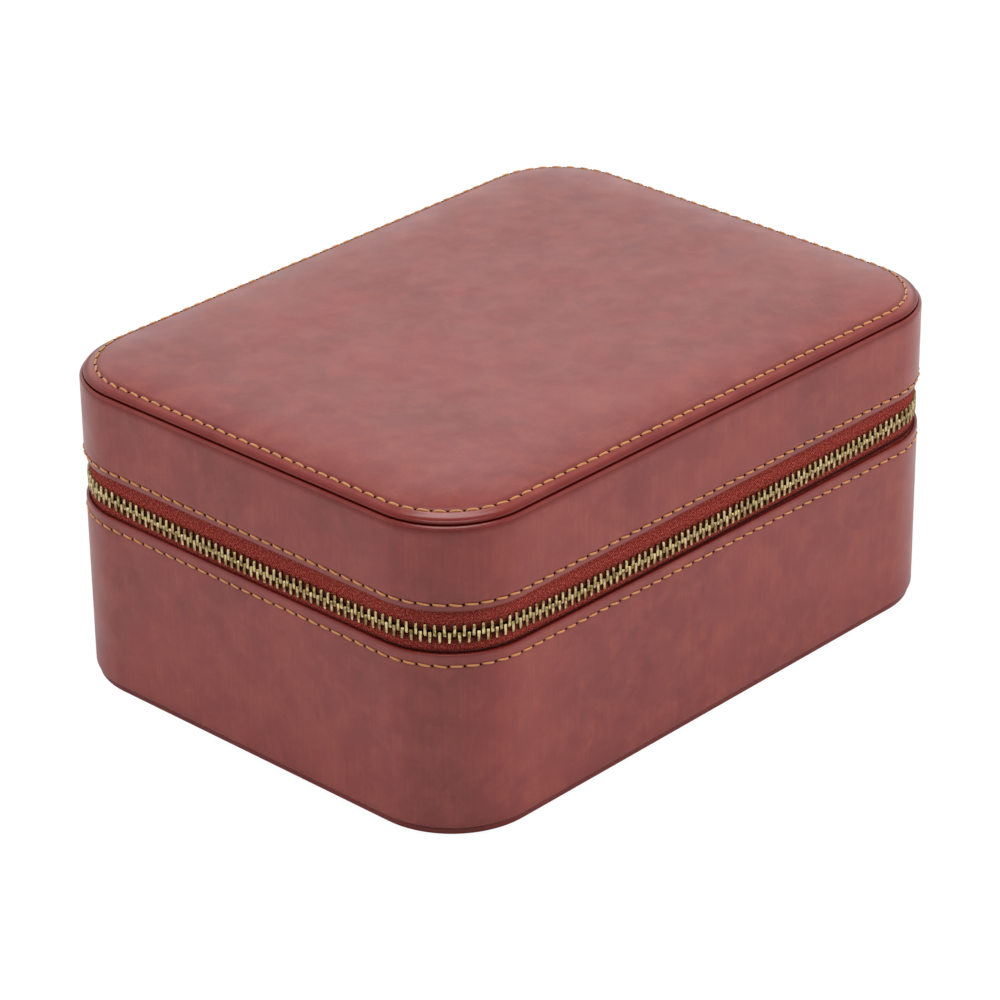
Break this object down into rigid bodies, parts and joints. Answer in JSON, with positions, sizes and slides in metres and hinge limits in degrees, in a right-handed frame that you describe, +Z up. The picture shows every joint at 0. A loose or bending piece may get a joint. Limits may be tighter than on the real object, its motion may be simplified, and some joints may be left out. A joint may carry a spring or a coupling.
{
  "type": "watch travel case",
  "caption": "Zip-round leather watch travel case with a padded hinged lid, stitched seams and a divided tray of watch cushions.",
  "frame": {"origin": "centre of the flat underside, on the surface that the case stands on", "axes": "+Z up, +X along the long side towards the end where the sliders park, -Y towards the front, +Y towards the leather spine"},
  "size_m": [0.2031, 0.15, 0.0923],
  "materials": {
    "case_leather": "smooth, semi-gloss, red-brown",
    "spine_leather": "smooth, satin, red-brown",
    "board": "grey fibre board",
    "foam": "matt",
    "suede_lining": "napped, matt",
    "suede_divider": "napped, matt",
    "cushion_suede": "napped, matt",
    "zip_tape": "woven, matt",
    "zip_metal": "polished, slightly aged",
    "slider_metal": "polished, slightly aged"
  },
  "bodies": {
    "base": {"base_panel_leather": "case_leather", "base_wall_leather": "case_leather", "base_wall_board": "board", "base_floor_board": "board", "base_floor_lining": "suede_lining", "base_wall_lining": "suede_lining", "zip_tape_lower": "zip_tape", "zip_teeth_lower": "zip_metal", "zip_end_stops_lower": "zip_metal", "hinge_spine": "spine_leather", "hinge_lining": "suede_lining", "long_divider": "suede_divider", "cross_divider_left": "suede_divider", "cross_divider_right": "suede_divider"},
    "lid": {"lid_wall_leather": "case_leather", "lid_wall_board": "board", "lid_wall_lining": "suede_lining", "lid_ceiling_lining": "suede_lining", "lid_panel_leather": "case_leather", "lid_panel_board": "board", "lid_panel_foam": "foam", "lid_pad": "suede_lining", "zip_tape_upper": "zip_tape", "zip_teeth_upper": "zip_metal", "zip_end_stops_upper": "zip_metal"},
    "slider_front": {"zip_slider_front": "slider_metal"},
    "slider_rear": {"zip_slider_rear": "slider_metal"},
    "pull_front": {"zip_pull_front": "slider_metal"},
    "pull_rear": {"zip_pull_rear": "slider_metal"},
    "cushion_1": {"watch_cushion_1": "cushion_suede"},
    "cushion_2": {"watch_cushion_2": "cushion_suede"},
    "cushion_3": {"watch_cushion_3": "cushion_suede"},
    "cushion_4": {"watch_cushion_4": "cushion_suede"},
    "cushion_5": {"watch_cushion_5": "cushion_suede"},
    "cushion_6": {"watch_cushion_6": "cushion_suede"}
  },
  "joints": [
    {"name": "lid_hinge", "type": "hinge", "parent": "base", "child": "lid", "pos_m": [0, 0.0734, 0.0575], "axis": [-1, 0, 0], "range_deg": [0, 110], "deforming": ["zip_tape_lower", "zip_tape_upper", "zip_teeth_lower", "zip_teeth_upper", "zip_end_stops_lower", "zip_end_stops_upper", "hinge_spine", "hinge_lining"]},
    {"name": "slider_front_slide", "type": "slide", "parent": "base", "child": "slider_front", "axis": [0, -1, 0], "range_m": [0, 0.039]},
    {"name": "slider_rear_slide", "type": "slide", "parent": "base", "child": "slider_rear", "axis": [0, 1, 0], "range_m": [0, 0.039]},
    {"name": "pull_front_swing", "type": "hinge", "parent": "slider_front", "child": "pull_front", "pos_m": [0.1014, -0.00675, 0.0575], "axis": [0, 0, 1], "range_deg": [0, 110]},
    {"name": "pull_rear_swing", "type": "hinge", "parent": "slider_rear", "child": "pull_rear", "pos_m": [0.1014, 0.00675, 0.0575], "axis": [0, 0, -1], "range_deg": [0, 110]},
    {"name": "cushion_1_lift", "type": "slide", "parent": "base", "child": "cushion_1", "axis": [0, 0, 1], "range_m": [0, 0.025]},
    {"name": "cushion_2_lift", "type": "slide", "parent": "base", "child": "cushion_2", "axis": [0, 0, 1], "range_m": [0, 0.025]},
    {"name": "cushion_3_lift", "type": "slide", "parent": "base", "child": "cushion_3", "axis": [0, 0, 1], "range_m": [0, 0.025]},
    {"name": "cushion_4_lift", "type": "slide", "parent": "base", "child": "cushion_4", "axis": [0, 0, 1], "range_m": [0, 0.025]},
    {"name": "cushion_5_lift", "type": "slide", "parent": "base", "child": "cushion_5", "axis": [0, 0, 1], "range_m": [0, 0.025]},
    {"name": "cushion_6_lift", "type": "slide", "parent": "base", "child": "cushion_6", "axis": [0, 0, 1], "range_m": [0, 0.025]}
  ]
}
